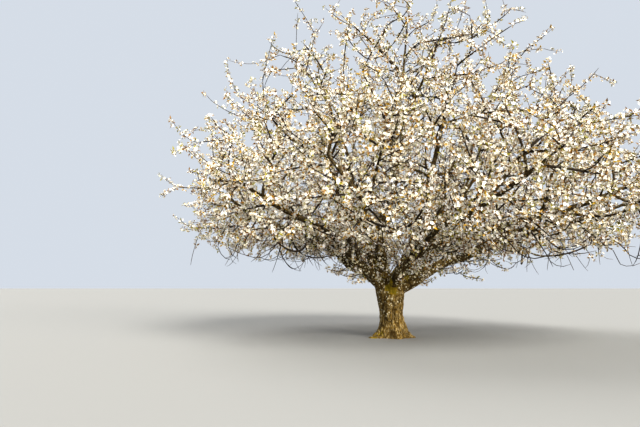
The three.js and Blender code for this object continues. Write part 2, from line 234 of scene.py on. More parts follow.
class Limb:
    """A bough or limb: a tapering cubic curve with a collar at its start."""

    def __init__(self, name, key, start, start_heading, target, share, lift, radius):
        tip = start + share * (target - start) + np.array([0, 0, lift])
        length = np.linalg.norm(tip - start)
        bend_out = start + 0.4 * length * start_heading
        bend_in = tip - 0.3 * length * unit(target - tip)
        self.name, self.target, self.length, self.radius = name, target, length, radius
        self.phase = FULL_TURN * float(chance(key, 1))
        self.posts = np.array([start, bend_out, bend_in, tip])

    def points(self, share):
        """The cubic blend of the four posts, plus wander × 4s(1-s) × a sine of the share s on each axis."""
        s = np.asarray(share, float)[..., None]
        blend = np.concatenate([(1 - s) ** 3, 3 * s * (1 - s) ** 2, 3 * s * s * (1 - s), s**3], axis=-1)
        turns = s * np.array([9, 8, 11]) + self.phase * np.array([1, 2.1, 3.7])
        return blend @ self.posts + WANDER * self.length * 4 * s * (1 - s) * np.sin(turns)

    def headings(self, share):
        """The unit vector from the point a hundredth before to the point a hundredth after."""
        share = np.asarray(share, float)
        before, after = np.maximum(0, share - 0.01), np.minimum(1, share + 0.01)
        return unit(self.points(after) - self.points(before))

    def radii(self, share):
        """From the start's radius to the tip's by the share to the power 0.8, times a collar that fades."""
        share = np.asarray(share, float)
        collar = 1 + COLLAR_SWELL * np.exp(-share * self.length / COLLAR_LENGTH)
        return (self.radius + (TIP_RADIUS - self.radius) * share**0.8) * collar


# %% Every bough and limb
LOW_START = (0.11, 1.12)
HIGH_START = (0.095, 1.3)
BOUGH_SHARE = 0.68
LIMB_SHARE = 0.56
BOUGH_LIFT = 0.18
SIDE_FORK = 0.5
RISER_FORK = 0.3
RISER_TURN = -10
FORK_SHARE = 0.62
FORK_LEAN = 0.6
LOW_BOUGHS = (
    ("right", -10, 23, 0.158),
    ("back_right", 48, 34, 0.132),
    ("back", 106, 36, 0.126),
    ("back_left", 158, 33, 0.124),
    ("left", 211, 30, 0.138),
    ("front", 281, 34, 0.124),
)
HIGH_BOUGHS = (
    ("high_right", 14, 48, 0.118, (0.38, 5.55)),
    ("high_left", 166, 56, 0.108, (0.4, 5.7)),
)
LEADER_LIMBS = (("back", 0.5, 90), ("front", 0.68, -90))

limbs = []


def add_bough(name, bearing, rise, radius, start, tier):
    """A bough from the trunk's head: its start is out from the middle line along its bearing."""
    out, height = start
    foot = trunk_middle(height) + out * heading(bearing)
    towards, target = heading(bearing, rise), tier_point(tier, bearing)
    key = len(limbs) + 1
    limbs.append(Limb("bough_" + name, key, foot, towards, target, BOUGH_SHARE, BOUGH_LIFT, radius))
    return limbs[-1]


def add_limb(name, parent, fork, target):
    """A limb from a bough: it starts on the bough's middle line and leans over from it to its blossom."""
    start = parent.points(fork)
    leaning = parent.headings(fork)
    towards = unit(leaning + FORK_LEAN * (unit(target - start) - leaning))
    radius = FORK_SHARE * float(parent.radii(fork))
    key = len(limbs) + 1
    limbs.append(Limb("limb_" + name, key, start, towards, target, LIMB_SHARE, 0, radius))


low = [add_bough(*facts, LOW_START, LOW_TIER) for facts in LOW_BOUGHS]
for name, bearing, rise, radius, tier in HIGH_BOUGHS:
    add_bough(name, bearing, rise, radius, HIGH_START, tier)
leader = add_bough("leader", 180, 85, 0.122, HIGH_START, TOP_TIER)
for i, (name, bearing, *_) in enumerate(LOW_BOUGHS):
    between = bearing + (LOW_BOUGHS[(i + 1) % len(low)][1] - bearing) % 360 / 2
    add_limb(name + "_side", low[i], SIDE_FORK, tier_point(LOW_TIER, between))
    add_limb(name + "_riser", low[i], RISER_FORK, tier_point(MIDDLE_TIER, bearing + RISER_TURN))
for name, fork, bearing in LEADER_LIMBS:
    add_limb("leader_" + name, leader, fork, tier_point(HIGH_TIER, bearing))
targets = np.array([limb.target for limb in limbs])
print(len(limbs), "limbs,", round(sum(limb.length for limb in limbs), 1), "m in all")

# %% [markdown]
# ## Where the buds are
#
# A crown fills with twigs where there is light: most buds sit near its surface, fewer inside it, and none
# close round the trunk. High up it is open, with long shoots, and bare ends droop from its underside. Pure
# chance would leave clumps and holes. Multiples of a few odd numbers, with only what follows the point
# kept, fill a box far more evenly. Each bud belongs to the limb whose blossom's middle is nearest.

# %% Buds through the crown
BUDS = 5200
TRIES = 12
SPREAD = 1.2207440846
INNER_SHARE = 0.25
LOW_SHARE = 0.7
BARE_RADIUS = 0.9
BARE_HEIGHT = 2.45
SHOOTS_ABOVE = 0.75
SHOOT_EVERY = 9
SHOOT_LENGTH = 1.15
SHOOT_SLOPE = 0.15
OPEN_FROM = 3.5
OPENNESS = 0.8
DROOP_EVERY = 3
DROOP_LENGTH = 1.3
DROOP_SLOPE = -0.25
UNDERSIDE_SHARE = 0.6
LOWEST_SHOOT = 1.28
INSIDE_BOX = 0.06


def make_buds(count):
    """Bud i lies at the shares frac(0.5 + i / spreadᵏ) of the crown's box, k = 1, 2 and 3. Every few of
    those near the surface are pushed out of it, as the ends of long shoots: level or upwards, and on the
    underside a little downwards. High up, many of the others near the surface are left out."""
    i = np.arange(1, TRIES * count)
    share = (0.5 + i[:, None] / SPREAD ** np.array([1, 2, 3])) % 1
    at = np.empty_like(share)
    at[:, :2] = CROWN_MIDDLE[:2] + (2 * share[:, :2] - 1) * CROWN_HALF
    at[:, 2] = CROWN_MIDDLE[2] - CROWN_HANG + share[:, 2] * (CROWN_HANG + CROWN_RISE)
    full = fullness(at)
    up = (at[:, 2] - CROWN_MIDDLE[2]) / CROWN_RISE
    bare = (at[:, 2] < BARE_HEIGHT) & (np.hypot(at[:, 0], at[:, 1]) < BARE_RADIUS)
    wanted = LOW_SHARE + (1 - LOW_SHARE) * smooth(2 * up)
    keep = (full <= 1) & ~bare & (chance(i, 2) <= INNER_SHARE + full) & (chance(i, 3) <= wanted)

    outward = unit(at - CROWN_MIDDLE)
    under = at[:, 2] < CROWN_MIDDLE[2] - UNDERSIDE_SHARE * CROWN_HANG
    outward[:, 2] = np.where(under, DROOP_SLOPE, np.maximum(outward[:, 2], SHOOT_SLOPE))
    shoot = (i % np.where(under, DROOP_EVERY, SHOOT_EVERY) == 0) & (full > SHOOTS_ABOVE)
    length = np.where(under, DROOP_LENGTH, SHOOT_LENGTH) * (0.3 + 0.7 * chance(i, 4))
    airy = OPENNESS * smooth((at[:, 2] - OPEN_FROM) / 2) * smooth((full - 0.55) / 0.3)
    keep &= shoot | (chance(i, 8) > airy)
    at = np.where(shoot[:, None], at + outward * length[:, None], at)
    low_side, high_side = np.array(cad_low) + INSIDE_BOX, np.array(cad_high) - INSIDE_BOX
    inside = np.all((at > low_side) & (at < high_side), axis=1)
    keep &= ((fullness(at) <= CROWN_REACH) | under) & inside & (at[:, 2] > LOWEST_SHOOT)
    return at[keep][:count]


bud_places = make_buds(BUDS)
bud_owners = np.linalg.norm(bud_places[:, None] - targets, axis=2).argmin(axis=1)
print(len(bud_places), "buds, fewest in a mass", np.bincount(bud_owners).min())

# %% [markdown]
# ## Growing the twigs
#
# A real twig starts somewhere on an older one, leaves it on a slant, bows a little under its own weight and
# turns up to its tip. The rule says the same: each bud in turn looks at every place on the twigs that are
# there, and takes the cheapest, where a long way, a sharp turn back and a place far out on thin wood all
# cost more. A twig that would leave its mass's own space or run through a limb is left out. Short shoots
# also grow straight from the boughs' bark, as they do on old cherries.
#
# A twig's thickness follows from how many buds hang beyond it, because in a real tree the pipes that feed
# the tips all run together in the trunk.

# %% The rule for a twig
STEM_STEP = 0.24
STEM_REACH = 0.9
STEM_SEARCH = 0.06
SPRAY_WIDTH = 0.44
TWIG_STEP = 0.15
TURN_COST = 0.35
WAY_COST = 0.22
SLANT = 0.5
BEND_SHARE = 0.45
SAG = 0.09
LOW_SAG = 0.24
LOW_BUDS = 2.1
SUNK = 0.004
TWIG_TIP = 0.0066
THICKENING = 2.3
SHOOTS_FROM = 0.36
SHOOT_STEP = 0.062
SHORTEST_SHOOT = 0.25
LONGEST_EXTRA = 0.55
SHOOT_ONWARD = 0.45
GOLDEN_TURN = 2.39996
SEAT = 0.0003
APART = 0.006
CLEAR = 0.012
TRUNK_CLEAR = 1.4 * FOOT_RADIUS

wood_shares = [np.linspace(0, 1, max(4, round(limb.length / 0.06) + 1)) for limb in limbs]
wood_places = np.concatenate([limb.points(s) for limb, s in zip(limbs, wood_shares)])
wood_radii = np.concatenate([limb.radii(s) for limb, s in zip(limbs, wood_shares)])


def fits(points, margin, owner):
    """True if every point is on its own side, by the margin, of the planes halfway to all other masses, and
    is out of the trunk and of every limb."""
    away = np.delete(targets, owner, axis=0) - targets[owner]
    gaps = np.linalg.norm(away, axis=1)
    along = (points - targets[owner]) @ (away / gaps[:, None]).T
    if np.any(along >= gaps / 2 - margin - APART):
        return False
    from_axis = np.hypot(points[:, 0], points[:, 1]) - margin
    if np.any((from_axis < TRUNK_CLEAR) & (points[:, 2] < TRUNK_HEIGHT + margin)):
        return False
    apart = np.linalg.norm(points[:, None] - wood_places, axis=2)
    return bool(np.all(apart > wood_radii + margin + CLEAR))


def twig_curve(start, start_heading, bud, step):
    """(1-t)² start + 2t(1-t) bend + t² bud: the bend lies 0.45 of the way along the slant on which the twig
    leaves, and lower by its sag, which is larger in the crown's underside. Gives the places, the headings
    and the length of one step."""
    to = bud - start
    far = np.linalg.norm(to)
    leave = unit(to / far + SLANT * start_heading)
    sag = SAG + (LOW_SAG - SAG) * smooth((LOW_BUDS - bud[2]) / 0.4)
    bend = start + BEND_SHARE * far * leave - np.array([0, 0, sag * far])
    steps = max(1, round(far / step))
    t = np.arange(1, steps + 1)[:, None] / steps
    at = (1 - t) ** 2 * start + 2 * t * (1 - t) * bend + t**2 * bud
    return at, unit((1 - t) * (bend - start) + t * (bud - bend)), far / steps


class Mass:
    """The twigs of one limb: places, headings, distances from the limb, parents and buds carried, by
    node."""

    def __init__(self, limb, owner, room):
        self.owner, self.count = owner, 0
        self.at, self.start, self.towards = (np.empty((room, 3)) for _ in range(3))
        self.way, self.carries = np.zeros(room), np.zeros(room)
        self.parent = np.full(room, -1)
        self.twigs = []
        along = limb.headings(1)
        self.root = limb.points(1) + SEAT * along
        onward, end = unit(limb.target - self.root), limb.target.copy()
        while fullness(end[None])[0] < STEM_REACH and fits(end[None], SPRAY_WIDTH, owner):
            end = end + STEM_SEARCH * onward
        at, towards, step = twig_curve(self.root, along, end, STEM_STEP)
        self.extend(at, towards, step, -1, self.root, along)

    def extend(self, at, towards, step, source, root, leave):
        """Adds a twig's nodes, each one step further on than the one before it."""
        first, last = self.count, self.count + len(at)
        new = slice(first, last)
        self.at[new], self.towards[new] = at, towards
        self.start[new] = np.vstack([root if source < 0 else self.at[source], at[:-1]])
        before = 0 if source < 0 else self.way[source]
        self.way[new] = before + step * np.arange(1, len(at) + 1)
        self.parent[new] = np.arange(first - 1, last - 1)
        self.parent[first] = source
        self.count = last
        self.twigs.append((first, last, root, leave))

    def grow(self, bud):
        """Joins a bud to the node with the least cost: far · (1 + turn cost · (1 - cosine of the turn))
        plus way cost times the node's own distance from the limb."""
        to = bud - self.at[:self.count]
        far = np.linalg.norm(to, axis=1)
        cosine = np.sum(to * self.towards[:self.count], axis=1) / far
        cost = far * (1 + TURN_COST * (1 - cosine)) + WAY_COST * self.way[:self.count]
        source = int(cost.argmin())
        start = self.at[source].copy()
        at, towards, step = twig_curve(start, self.towards[source], bud, TWIG_STEP)
        ends = np.vstack([start, at])
        shares = np.array([0.15, 0.4, 0.7, 1])[:, None, None]
        tests = (ends[:-1] + shares * (ends[1:] - ends[:-1])).reshape(-1, 3)
        if not fits(tests, 2 * TWIG_TIP, self.owner):
            return
        leave = unit(at[0] - start)
        self.extend(at, towards, step, source, start - SUNK * leave, leave)
        self.carries[self.count - 1] = 1

    def sprout(self, limb):
        """Short shoots straight from the bark: one every few steps along the limb, each on the side that
        the golden turn brings it to, slanting on and up. Those that would touch wood are left out."""
        self.grown = self.count
        number = np.arange(int((limb.length - SHOOTS_FROM) / SHOOT_STEP))
        share = (SHOOTS_FROM + SHOOT_STEP * number) / limb.length
        along = limb.headings(share)
        side = square_to(along, GOLDEN_TURN * number + FULL_TURN * chance(self.owner, 61))
        leave = unit(side + SHOOT_ONWARD * along + np.array([0, 0, 0.1]))
        starts = limb.points(share) + side * (0.9 * limb.radii(share))[:, None]
        length = SHORTEST_SHOOT + LONGEST_EXTRA * chance(100 * self.owner + number, 62)
        ends = starts + length[:, None] * unit(leave + np.array([0, 0, 0.3]))
        for start, onward, end in zip(starts, leave, ends):
            at, towards, step = twig_curve(start, onward, end, TWIG_STEP)
            apart = np.linalg.norm(at[len(at) // 2:, None] - wood_places, axis=2)
            if np.all(apart > wood_radii + 2 * CLEAR) and end[2] > LOWEST_SHOOT:
                self.extend(at, towards, step, -1, start, onward)
                self.carries[self.count - 1] = 2

    def finish(self):
        """Adds up the buds beyond each node, from the tips back to the limb, and turns them into radii."""
        for node in range(self.count - 1, 0, -1):
            if self.parent[node] >= 0:
                self.carries[self.parent[node]] += self.carries[node]
        self.radius = TWIG_TIP * np.maximum(1, self.carries) ** (1 / THICKENING)


masses = []
for owner, limb in enumerate(limbs):
    own = bud_places[bud_owners == owner]
    room = 500 + 20 * len(own)
    mass = Mass(limb, owner, room)
    for bud in own:
        mass.grow(bud)
    mass.sprout(limb)
    mass.finish()
    masses.append(mass)
print(sum(len(mass.twigs) for mass in masses), "twigs with", sum(m.count for m in masses), "nodes")

# %% [markdown]
# ## From arrays to a mesh
#
# Blender can draw a tube from a curve, one object at a time, but thousands of twigs would be slow to make
# and slow to look at. So all twigs of one kind become one mesh: their rings are worked out as whole arrays,
# and the arrays go into the mesh in one step each.

# %% Arrays into a piece, and tubes through rings
def add_piece(name, vertices, faces, slots=None, rounded=False):
    """A mesh object from places and one or more arrays of faces, whose rows list their corners."""
    corners = np.concatenate([rows.ravel() for rows in faces])
    sizes = np.concatenate([np.full(len(rows), rows.shape[1]) for rows in faces])
    mesh = bpy.data.meshes.new(name)
    mesh.vertices.add(len(vertices))
    mesh.vertices.foreach_set("co", vertices.astype(np.float32).ravel())
    mesh.loops.add(len(corners))
    mesh.loops.foreach_set("vertex_index", corners.astype(np.int32))
    mesh.polygons.add(len(sizes))
    mesh.polygons.foreach_set("loop_start", (np.cumsum(sizes) - sizes).astype(np.int32))
    mesh.polygons.foreach_set("use_smooth", np.full(len(sizes), rounded))
    if slots is not None:
        mesh.polygons.foreach_set("material_index", slots.astype(np.int32))
    mesh.update(calc_edges=True)
    piece = bpy.data.objects.new(name, mesh)
    bpy.context.scene.collection.objects.link(piece)
    return piece


def tubes(places, headings, radii, chain, sides):
    """Closed tubes. A ring's corner is its place + radius · (cos turn · across + sin turn · beside). Rings
    that follow each other in one chain are joined by quads, and a chain's first and last are closed."""
    first = np.flatnonzero(np.diff(chain, prepend=chain[0] - 1))
    last = np.append(first[1:], len(chain)) - 1
    tube = np.repeat(np.arange(len(first)), last - first + 1)
    across, beside = frames_along(headings, headings[(first + last) // 2][tube])
    turn = 2 * np.pi * np.arange(sides)[None, :, None] / sides
    ring = np.cos(turn) * across[:, None] + np.sin(turn) * beside[:, None]
    vertices = (places[:, None] + radii[:, None, None] * ring).reshape(-1, 3)

    corner = np.arange(sides)
    here = np.flatnonzero(tube[:-1] == tube[1:])[:, None] * sides
    one, two = here + corner, here + np.roll(corner, -1)
    quads = np.stack([one, one + sides, two + sides, two], axis=-1).reshape(-1, 4)
    caps = np.vstack([first[:, None] * sides + corner, last[:, None] * sides + corner[::-1]])
    return vertices, quads, caps


def joined(parts):
    """Parts of (vertices, arrays of faces) as one array of vertices and one list of arrays of faces."""
    vertices, faces, count = [], [], 0
    for points, *rows in parts:
        vertices.append(points)
        faces += [row + count for row in rows]
        count += len(points)
    return np.vstack(vertices), faces


# %% [markdown]
# ## Which wood is thick and which is thin
#
# Bark shows its relief only on thick wood, so the trunk, the boughs, the limbs and all twigs that are over
# 4.5 cm thick become skins with real relief. Everything thinner than that stays a plain thin tube.

# %% Rings of every tube
THICK = 0.023
RING_STEP = 0.035
THICK_SIDES = 14


def limb_rings(limb, end=1.0):
    """Rings about a step apart along a limb, up to a share of it, with how far along it each one lies."""
    count = max(4, round(end * limb.length / RING_STEP) + 1)
    share = np.linspace(0, end, count)
    return limb.points(share), limb.headings(share), limb.radii(share), share * limb.length


def twig_rings(mass):
    """The rings of a mass's twigs, each from its root: places, headings, radii and the twig's number."""
    rows = []
    for number, (first, last, root, leave) in enumerate(mass.twigs):
        radii = mass.radius[first:last]
        start = TIP_RADIUS if number == 0 else radii[0]
        rows.append(np.column_stack([
            np.vstack([root, mass.at[first:last]]),
            np.vstack([leave, mass.towards[first:last]]),
            np.append(start, radii),
            np.full(last - first + 1, number),
        ]))
    rows = np.vstack(rows)
    return rows[:, :3], rows[:, 3:6], rows[:, 6], rows[:, 7].astype(int)


def thick_twigs(mass):
    """The part of each twig that is thick wood, as a list of tubes with at least two rings."""
    places, headings, radii, chain = twig_rings(mass)
    for number in np.unique(chain[radii >= THICK]):
        own = (chain == number) & (radii >= THICK)
        if own.sum() > 1:
            steps = np.linalg.norm(np.diff(places[own], axis=0), axis=1)
            yield places[own], headings[own], radii[own], np.append(0, np.cumsum(steps))


FAMILIES = {name: [i, 9 + 2 * i, 10 + 2 * i] for i, (name, *_) in enumerate(LOW_BOUGHS)}
FAMILIES["high"] = [6, 7, 8, 21, 22]
WOOD_SIDES = {
    "right": ["right", "back_right", "front"],
    "left": ["back", "back_left", "left"],
    "high": ["high"],
}
wood = {}
for side, names in WOOD_SIDES.items():
    members = [i for name in names for i in FAMILIES[name]]
    wood[side] = [limb_rings(limbs[i]) for i in members]
    for i in members:
        wood[side] += thick_twigs(masses[i])
print({side: len(parts) for side, parts in wood.items()}, "tubes of thick wood")

# %% [markdown]
# ## One skin over many tubes
#
# Where a bough leaves the trunk, the real bark runs on without a seam and rounds off the corner. Tubes that
# only pass through each other keep a hard crease there. Filling them with small cubes and wrapping one skin
# over those joins them, and a few rounds of smoothing round off the creases.

# %% Joining tubes into one skin
STUB_LENGTH = 0.66
STUB_EXTRA = 0.014
STUB_TAPER = 0.2
STUB_END = 0.45
TRUNK_SKIN = 0.011
BOUGH_SKIN = 0.0175
TRUNK_ROUNDS = 14
BOUGH_ROUNDS = 4
TRUNK_RINGS = 64
TRUNK_SIDES = 96
BELOW_GROUND = 0.05


def one_skin(name, parts, cell, rounds):
    """The skin round the union of closed parts, each of (vertices, quads, caps), wrapped in cells of one
    size and smoothed for some rounds."""
    rough = add_piece(name, *joined(parts))
    wrap = rough.modifiers.new("wrap", "REMESH")
    wrap.mode = "VOXEL"
    wrap.voxel_size = cell
    relax = rough.modifiers.new("relax", "SMOOTH")
    relax.factor = 0.5
    relax.iterations = rounds
    made = bpy.data.meshes.new_from_object(rough.evaluated_get(bpy.context.evaluated_depsgraph_get()))
    old = rough.data
    rough.modifiers.clear()
    rough.data = made
    bpy.data.meshes.remove(old)
    return rough


def trunk_part():
    """The trunk as a grid of heights and turns round its middle line, from a little below the ground, where
    it is cut later, to its top."""
    corner = np.arange(TRUNK_SIDES)
    heights = np.linspace(-BELOW_GROUND, TRUNK_HEIGHT, TRUNK_RINGS)
    height, turn = np.meshgrid(heights, 2 * np.pi * corner / TRUNK_SIDES, indexing="ij")
    radius = trunk_radius(height, turn)
    out = np.stack([np.cos(turn), np.sin(turn), 0 * turn], axis=-1) * radius[..., None]
    vertices = (trunk_middle(height) + out).reshape(-1, 3)
    here = np.arange(TRUNK_RINGS - 1)[:, None] * TRUNK_SIDES
    one, two = here + corner, here + np.roll(corner, -1)
    quads = np.stack([one, two, two + TRUNK_SIDES, one + TRUNK_SIDES], axis=-1).reshape(-1, 4)
    return vertices, quads, np.vstack([corner[::-1], here[-1] + TRUNK_SIDES + corner])


def round_tube(places, headings, radii, *_):
    """One closed round tube through a few rings."""
    return tubes(places, headings, radii, np.zeros(len(places), int), THICK_SIDES)


stubs = []
for limb in limbs[:9]:
    places, headings, radii, along = limb_rings(limb, STUB_LENGTH / limb.length)
    drawn_in = 1 - STUB_END * smooth((along - STUB_LENGTH + STUB_TAPER) / STUB_TAPER)
    stubs.append(round_tube(places, headings, (radii + STUB_EXTRA) * drawn_in))
bark_trunk = one_skin("bark_trunk", [trunk_part(), *stubs], TRUNK_SKIN, TRUNK_ROUNDS)
bark_boughs = {
    side: one_skin("bark_boughs_" + side, [round_tube(*rings) for rings in parts], BOUGH_SKIN, BOUGH_ROUNDS)
    for side, parts in wood.items()
}
for piece in (bark_trunk, *bark_boughs.values()):
    print(piece.name, len(piece.data.polygons), "quads")

# %% [markdown]
# ## The relief of the bark
#
# Old cherry bark breaks into plates with upright cracks on the trunk, and lies in rings round the boughs.
# So the pattern has to know which way the wood runs. Each point of the skin looks up the nearest ring of
# wood and writes down its place as if that wood were a straight upright pole: how far across, how far
# beside and how far along. Noise on those three numbers, drawn out along the pole, gives plates and cracks
# that follow every bend. The skin is then moved in and out by that noise, and the numbers stay on it as
# attributes for the material.

# %% The grain of the wood
def noise(points, seed):
    """From -1 to 1: the chances of the eight corners of the cell round a point, blended by smooth steps."""
    cell = np.floor(points)
    t = smooth(points - cell)
    total = np.zeros(len(points))
    for corner in np.ndindex(2, 2, 2):
        key = (cell + corner) @ np.array([1.0, 57.0, 131.0])
        total += np.prod(np.where(corner, t, 1 - t), axis=1) * chance(key, seed)
    return 2 * total - 1


TRUNK_GRAIN_RINGS = 32
BATCH = 4000
trunk_heights = np.linspace(0, HEAD_HEIGHT + 0.12, TRUNK_GRAIN_RINGS)
trunk_rings = (
    trunk_middle(trunk_heights),
    np.tile([0.0, 0.0, 1.0], (TRUNK_GRAIN_RINGS, 1)),
    trunk_radius(trunk_heights, math.pi / 2),
    trunk_heights,
)


def grain_of(points, rings):
    """For each point, the ring whose surface is nearest, and the point's place on the straight pole: its
    shares across and beside, and the ring's distance along plus the share along the heading."""
    places, headings = (np.vstack([tube[k] for tube in rings]) for k in (0, 1))
    radii, along = (np.concatenate([tube[k] for tube in rings]) for k in (2, 3))
    middle = np.vstack([np.tile(tube[1][len(tube[1]) // 2], (len(tube[1]), 1)) for tube in rings])
    across, beside = frames_along(headings, middle)
    nearest = np.empty(len(points), int)
    for batch in np.array_split(np.arange(len(points)), 1 + len(points) // BATCH):
        square = (points[batch] ** 2).sum(axis=1)[:, None] + (places**2).sum(axis=1)
        apart = np.sqrt(np.maximum(0, square - 2 * points[batch] @ places.T))
        nearest[batch] = (apart - radii).argmin(axis=1)
    away = points - places[nearest]
    grain = np.column_stack([
        np.sum(away * across[nearest], axis=1),
        np.sum(away * beside[nearest], axis=1),
        np.sum(away * headings[nearest], axis=1) + along[nearest],
    ])
    return grain, radii[nearest]


# %% Cracks, plates, rings and moss
WIDE_PLATES = (0.085, 0.24)
NARROW_PLATES = (0.04, 0.085)
BURLS = 0.26
RINGS = np.array([0.3, 0.3, 0.05])
FINE_GRAIN = 0.022
FORK_HEIGHT = 1.3
MOSSY_HEAD = 1.18
MOSSY_FOOT = 0.42
MOSS_HEIGHT = 0.006
LICHEN_LINE = 0.42
LICHEN_SLOPE = 1.2


def cracks(grain, across, along, width, seed):
    """1 in the middle of a crack and 0 off it: 1 less the smooth step of |noise| over the crack's width, on
    the grain divided by the plates' size."""
    return 1 - smooth(np.abs(noise(grain / np.array([across, across, along]), seed)) / width)


def age_of(radius):
    """0 on wood up to 10 cm thick, 1 on wood from half a metre thick, by a smooth step of the radius."""
    return smooth((radius - 0.05) / 0.2)


def relief(grain, old):
    """Burls, minus wide and narrow cracks, plus rings and a fine grain. Young wood has less of each."""
    wide = cracks(grain, *WIDE_PLATES, 0.3, 2)
    narrow = cracks(grain, *NARROW_PLATES, 0.35, 3)
    deep = (0.004 + 0.013 * old) * wide + (0.002 + 0.005 * old) * narrow
    burls = (0.006 + 0.014 * old) * noise(grain / BURLS, 1)
    rings = 0.004 * (1 - old) * noise(grain / RINGS, 4)
    fine = (0.001 + 0.002 * old) * noise(grain / FINE_GRAIN, 5)
    return burls - deep + rings + fine, np.maximum(wide, 0.7 * narrow)


def moss_on(points, normals):
    """Moss lies on the fork and the boughs' upper sides near it, on the middle of the head and on the left
    foot, in patches of noise."""
    x, z = points[:, 0], points[:, 2]
    from_fork = np.linalg.norm(points - trunk_middle(FORK_HEIGHT), axis=1)
    on_top = smooth((normals[:, 2] + 0.15) / 0.7) * (1 - smooth((from_fork - 0.35) / 0.9))
    on_head = smooth((0.34 - np.abs(z - MOSSY_HEAD)) / 0.2) * smooth((0.26 - np.abs(x + 0.04)) / 0.2)
    at_foot = smooth((MOSSY_FOOT - z) / 0.3) * smooth((-0.12 - x) / 0.2)
    patches = smooth((noise(points / 0.16, 6) + 0.6 * noise(points / 0.05, 7) + 0.35) / 0.9)
    return np.maximum.reduce([on_top, on_head, at_foot]) * patches


def lichen_on(points):
    """A little lichen everywhere, more from a line on the trunk upwards that is higher on its right side,
    and most in a belt round the fork."""
    x, z = points[:, 0], points[:, 2]
    upper = smooth((z - LICHEN_LINE - LICHEN_SLOPE * x) / 0.4) * (1 - 0.4 * smooth((z - 1.5) / 0.5))
    belt = smooth((z - 0.95) / 0.2) * (1 - smooth((z - 1.8) / 0.5))
    return 0.14 + 0.2 * upper + 0.32 * belt


def vectors_of(items, field):
    """A field of three numbers on each of a mesh's items, as one array."""
    values = np.empty(3 * len(items), np.float32)
    items.foreach_get(field, values)
    return values.reshape(-1, 3).astype(float)


def keep_on(mesh, name, kind, field, values):
    """Writes a value for each point of a mesh as an attribute."""
    data = mesh.attributes.new(name, kind, "POINT").data
    data.foreach_set(field, values.astype(np.float32).ravel())


def dress_bark(piece, rings):
    """Moves each vertex along its normal by the relief, and keeps grain, age, cracks, moss and lichen."""
    mesh = piece.data
    points, normals = vectors_of(mesh.vertices, "co"), vectors_of(mesh.vertex_normals, "vector")
    grain, radius = grain_of(points, rings)
    age = age_of(radius)
    lift, crack = relief(grain, age)
    moss = moss_on(points, normals)
    points += normals * (lift + MOSS_HEIGHT * moss)[:, None]
    mesh.vertices.foreach_set("co", points.astype(np.float32).ravel())
    keep_on(mesh, "grain", "FLOAT_VECTOR", "vector", grain)
    kept = {"age": age, "crack": crack, "moss": moss, "lichen": lichen_on(points)}
    for name, values in kept.items():
        keep_on(mesh, name, "FLOAT", "value", values)
    mesh.polygons.foreach_set("use_smooth", np.ones(len(mesh.polygons), bool))
    mesh.update()


dress_bark(bark_trunk, [trunk_rings, *[limb_rings(limb) for limb in limbs[:9]]])
for side, parts in wood.items():
    dress_bark(bark_boughs[side], parts)
print("bark dressed on", len(bark_trunk.data.vertices), "points of the trunk")

# %% [markdown]
# ## The flat cut at the ground
#
# The skin was wrapped from a little below the ground, because wrapping rounds off edges. One cut at the
# level of the ground, closed by one flat face, gives the foot the same sharp flat underside as the solid.

# %% Cutting the foot
foot = bmesh.new()
foot.from_mesh(bark_trunk.data)
everything = [*foot.verts, *foot.edges, *foot.faces]
bmesh.ops.bisect_plane(foot, geom=everything, plane_co=(0, 0, 0), plane_no=(0, 0, 1), clear_inner=True)
rim = [edge for edge in foot.edges if edge.is_boundary]
cut = bmesh.ops.holes_fill(foot, edges=rim, sides=0)["faces"]
for face in cut:
    face.smooth = False
foot.to_mesh(bark_trunk.data)
foot.free()
print("the cut has", len(cut), "face,", len(rim), "edges round it")

# %% [markdown]
# ## The thin twigs
#
# Cherry twigs are brown with a grey skin, redder where they are young. Each is a tube of a few sides, with
# its last ring drawn in to a point. Twigs thinner than a thumb get three sides, the others six, and each
# takes one of three plain colours by its thickness and by chance.

# %% Twigs, a piece for each family of boughs
THIN = 0.009
OLD_TWIG = 0.008
GREY_SHARE = 0.45
TIP_SHARE = 0.45
OVERLAP = 1.08
WIDEST = 1.15


def thin_twigs(mass):
    """The rings thinner than thick wood, and the one before them, with each twig's last ring drawn in."""
    places, headings, radii, chain = twig_rings(mass)
    last = np.append(chain[1:] != chain[:-1], True)
    thin = radii < OVERLAP * THICK
    keep = thin | (np.append(thin[1:], False) & ~last)
    alone = keep & ~np.append(keep[1:] & ~last[:-1], False) & ~np.append(False, keep[:-1] & ~last[:-1])
    keep &= ~alone
    radii = np.where(last, TIP_SHARE * radii, radii)
    return places[keep], headings[keep], np.minimum(radii[keep], WIDEST * THICK), chain[keep]


def tubes_of(rings, sides, wanted):
    """Tubes through the wanted rings, with a slot for each face: 0 old wood, 1 grey, 2 young red."""
    places, headings, radii, chain = (values[wanted] for values in rings)
    vertices, quads, caps = tubes(places, headings, radii, chain, sides)
    first = np.flatnonzero(np.diff(chain, prepend=chain[0] - 1))
    width = np.maximum.reduceat(radii, first)
    draw = chance(chain[first], 21)
    slot = np.where(width > OLD_TWIG, 0, np.where(draw < GREY_SHARE, 1, 2))
    runs = np.diff(np.append(first, len(chain))) - 1
    return vertices, quads, caps, np.repeat(slot, runs * sides), np.tile(slot, 2)


